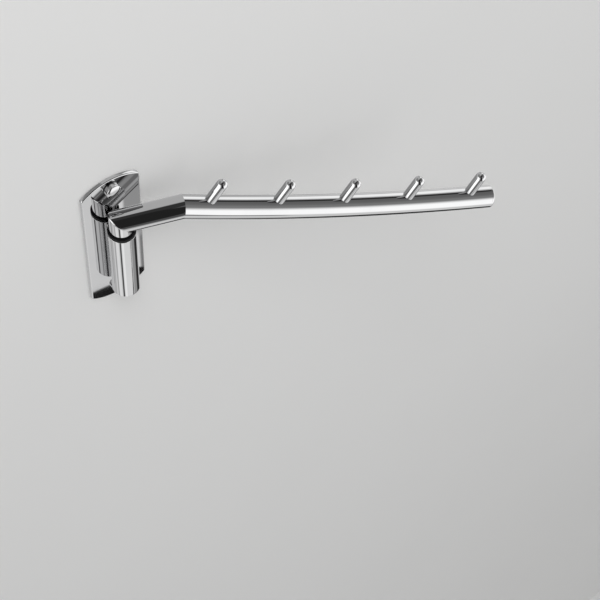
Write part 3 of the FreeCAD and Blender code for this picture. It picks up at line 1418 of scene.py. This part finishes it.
@dataclass(frozen=True)
class LightPanel:
    """A field of even brightness, by direction in degrees; azimuth 0 is straight ahead of the wall."""

    azimuth: float
    half_width: float
    elevation: float
    half_height: float
    brightness: float
    side_blur: float = 4.0
    top_blur: float = 4.0
    tilt: float = 0.0


@dataclass(frozen=True)
class SoftLamp:
    """A square lamp that is aimed at the hook and kept out of the polished faces."""

    name: str
    place: Triple
    size: float
    power: float
    aim: Triple = (0.15, 0.0, 0.0)

    def hang(self) -> None:
        """Put the lamp into the scene."""
        light = bpy.data.lights.new(self.name, "AREA")
        light.size = self.size
        light.energy = self.power
        lamp = bpy.data.objects.new(self.name, light)
        bpy.context.collection.objects.link(lamp)
        lamp.location = self.place
        lamp.rotation_mode = "QUATERNION"
        lamp.rotation_quaternion = (Vector(self.aim) - Vector(self.place)).to_track_quat("-Z", "Y")
        lamp.visible_glossy = False


@dataclass
class Studio:
    """Pale wall and floor, even light with panels in the mirror faces, soft lamps and the camera."""

    surround: float = 0.65
    ambient: float = 0.5
    panels: tuple[LightPanel, ...] = (
        LightPanel(-110, 73, 53, 19, 0.33, 10, 8),
        LightPanel(9, 86, 76, 24, 0.05, 58, 11),
        LightPanel(58, 44, 45, 14, 0.19, 10, 7),
        LightPanel(28, 35, 27.4, 8.6, 0.3, 15, 17),
        LightPanel(91, 8, 40.5, 7, 0.04, 5, 6),
        LightPanel(-157, 29, -18, 20.5, 0.38, 6, 10),
        LightPanel(-23.5, 21, 13, 52, 0.025, 5, 10),
        LightPanel(-9, 8, -24, 9, 0.12, 4, 6),
        LightPanel(-89, 27, 4, 28, 2.05, 8, 11),
        LightPanel(-40, 31, -46, 13, 0.78, 7, 7),
        LightPanel(-54, 5, -24, 9, 0.15, 4, 7),
        LightPanel(51, 50, -14.5, 26, 1.7, 3.5, 24),
        LightPanel(133.5, 8.4, -0.5, 34.6, 0.38, 5.5, 11),
        LightPanel(118, 10.4, 16, 15, 1.5, 5, 8.5),
        LightPanel(131.5, 5.6, -13.5, 14, 0.9, 5, 6),
        LightPanel(0, 180, -80, 16, 0.82, 1, 5),
        LightPanel(76, 56, -79, 15, 0.05, 9, 4),
        LightPanel(-106, 7, -56, 10, 0.93, 8, 10),
        LightPanel(-75, 13, -56, 9, 1.16, 8, 8),
        LightPanel(-95, 3, -56, 9, 0.55, 4, 6),
        LightPanel(-50, 5.5, -57, 9, 0.08, 5, 6),
        LightPanel(-30, 10, -54, 9.5, 1.33, 8, 7),
        LightPanel(8, 30, -55.5, 6.8, 1.08, 8, 12),
        LightPanel(57, 15, -54, 8.7, 0.43, 9, 9),
        LightPanel(90, 19, -55, 8.8, 0.035, 11, 9),
        LightPanel(-0.5, 4.5, -41.8, 3.5, 0.22, 1.6, 2.2),
        LightPanel(26, 2.5, -54.2, 2.7, 0.95, 0.2, 1),
        LightPanel(32, 2.4, -51.4, 2.1, 0.45, 0.2, 0.4),
        LightPanel(33, 2.55, -54.9, 1.4, 0.3, 0.2, 0.4),
        LightPanel(27.4, 2, -58.07, 2.5, 0.02, 0.7, 0.06, 0.19),
        LightPanel(31.7, 2, -57.3, 2.5, 0.02, 0.5, 0.06),
    )
    lamps: tuple[SoftLamp, ...] = (
        SoftLamp("soft_key", (-0.45, -0.9, 1.9), 0.9, 19.0),
        SoftLamp("soft_fill", (0.9, -1.7, 0.3), 1.4, 5.0),
    )
    wall_gap: float = 0.2 * MM
    wall_reach: float = 3.0
    floor_height: float = -2.4
    lens: float = 89.8
    sensor_width: float = 36.0
    azimuth: float = -41.17
    elevation: float = 55.99
    roll: float = 5.24
    distance: float = 1151.96 * MM
    origin_right: float = -187.25
    origin_up: float = 64.24
    image_width: float = 600.0

    def world(self) -> None:
        """Even light all round, with the panels seen in the polished faces."""
        world = bpy.data.worlds.new("panel_studio")
        bpy.context.scene.world = world
        world.use_nodes = True
        tree = world.node_tree
        look = tree.nodes.new("ShaderNodeTexCoord").outputs["Generated"]
        axes = add_node(tree, "ShaderNodeSeparateXYZ", Vector=look).outputs
        ahead = math_node(tree, "MULTIPLY", axes["Y"], -1.0)
        azimuth = math_node(tree, "DEGREES", math_node(tree, "ARCTAN2", axes["X"], ahead))
        elevation = math_node(tree, "DEGREES", math_node(tree, "ARCSINE", axes["Z"]))
        group = self._panel_group()
        level: Socket | float = self.surround
        for panel in self.panels:
            node = add_node(
                tree,
                "ShaderNodeGroup",
                node_tree=group,
                Look_Azimuth=azimuth,
                Look_Elevation=elevation,
                Behind=level,
            )
            for size in fields(panel):
                node.inputs[size.name].default_value = getattr(panel, size.name)
            level = node.outputs["Level"]
        # Reflections see the panels, and every other ray sees the even level.
        mirrored = tree.nodes.new("ShaderNodeLightPath").outputs["Is Glossy Ray"]
        change = math_node(tree, "SUBTRACT", level, self.ambient)
        shown = math_node(tree, "MULTIPLY_ADD", change, mirrored, self.ambient)
        feed(tree, tree.nodes["Background"].inputs["Color"], shown)

    @staticmethod
    def _panel_group() -> Tree:
        """Group that lays one panel over what is behind it.

        Returns:
            The group, with an input for each size of a panel.
        """
        names = ["Look Azimuth", "Look Elevation", "Behind", *(size.name for size in fields(LightPanel))]
        inputs = {name: FLOAT for name in names}
        tree, source, sink = new_group("ShaderNodeTree", "light_panel", inputs, {"Level": FLOAT})
        out = source.outputs
        offset = math_node(tree, "SUBTRACT", out["Look Azimuth"], out["azimuth"])
        turn = math_node(tree, "WRAP", offset, 180.0, -180.0)
        middle = math_node(tree, "MULTIPLY_ADD", turn, out["tilt"], out["elevation"])
        rise = math_node(tree, "SUBTRACT", out["Look Elevation"], middle)
        masks = []
        for shift, half, blur in ((turn, "half_width", "side_blur"), (rise, "half_height", "top_blur")):
            gap = math_node(tree, "ABSOLUTE", shift)
            inside = math_node(tree, "DIVIDE", math_node(tree, "SUBTRACT", out[half], gap), out[blur])
            masks.append(smooth_step(tree, inside, -0.5, 0.5))
        share = math_node(tree, "MULTIPLY", *masks)
        change = math_node(tree, "SUBTRACT", out["brightness"], out["Behind"])
        feed(tree, sink.inputs["Level"], math_node(tree, "MULTIPLY_ADD", change, share, out["Behind"]))
        return tree

    def backdrop(self) -> None:
        """Pale wall behind the plate and pale floor far below it."""
        paint = PaintedWall("pale_wall").build()
        gap, reach, floor = self.wall_gap, self.wall_reach, self.floor_height
        wall = [(-reach, gap, floor), (reach, gap, floor), (reach, gap, reach), (-reach, gap, reach)]
        ground = [(-reach, -reach, floor), (reach, -reach, floor), (reach, gap, floor), (-reach, gap, floor)]
        for name, corners in (("wall", wall), ("floor", ground)):
            mesh = bpy.data.meshes.new(name)
            mesh.from_pydata(corners, [], [(0, 1, 2, 3)])
            dress(mesh, paint)
            sheet = bpy.data.objects.new(name, mesh)
            bpy.context.collection.objects.link(sheet)
            sheet.visible_glossy = False

    def camera(self) -> None:
        """Camera at the photograph's viewing angle."""
        data = bpy.data.cameras.new("view")
        data.lens = self.lens
        data.sensor_width = self.sensor_width
        data.clip_start, data.clip_end = 0.01, 50.0
        eye = bpy.data.objects.new("view", data)
        bpy.context.collection.objects.link(eye)
        turn, rise, tilt = (math.radians(angle) for angle in (self.azimuth, self.elevation, self.roll))
        back = Vector((math.sin(turn) * math.cos(rise), -math.cos(turn) * math.cos(rise), math.sin(rise)))
        level = (-back).cross(UP).normalized()
        over = level.cross(-back)
        right = level * math.cos(tilt) + over * math.sin(tilt)
        top = over * math.cos(tilt) - level * math.sin(tilt)
        focal = self.lens / self.sensor_width * self.image_width
        shift = right * (self.origin_right / focal) + top * (self.origin_up / focal) - back
        axes = Matrix((right, top, back)).transposed().to_4x4()
        axes.translation = -shift * self.distance
        eye.matrix_world = axes
        bpy.context.scene.camera = eye

    def build(self) -> None:
        """Set up the light, the backdrop and the camera."""
        self.world()
        self.backdrop()
        for lamp in self.lamps:
            lamp.hang()
        self.camera()
        bpy.context.scene.view_settings.view_transform = "Standard"
        log.info("studio: %d light panels, wall, floor and camera", len(self.panels))


def main() -> None:
    """Build the hook piece by piece and set up the studio."""
    logging.basicConfig(level=logging.INFO, format="%(name)s: %(message)s")
    finishes = FinishSet()
    WallBracket(finishes).build()
    WallFasteners(finishes).build()
    arm = SwingArm(finishes)
    arm.build()
    PegRow(arm).build()
    Studio().build()


if __name__ == "__main__":
    main()
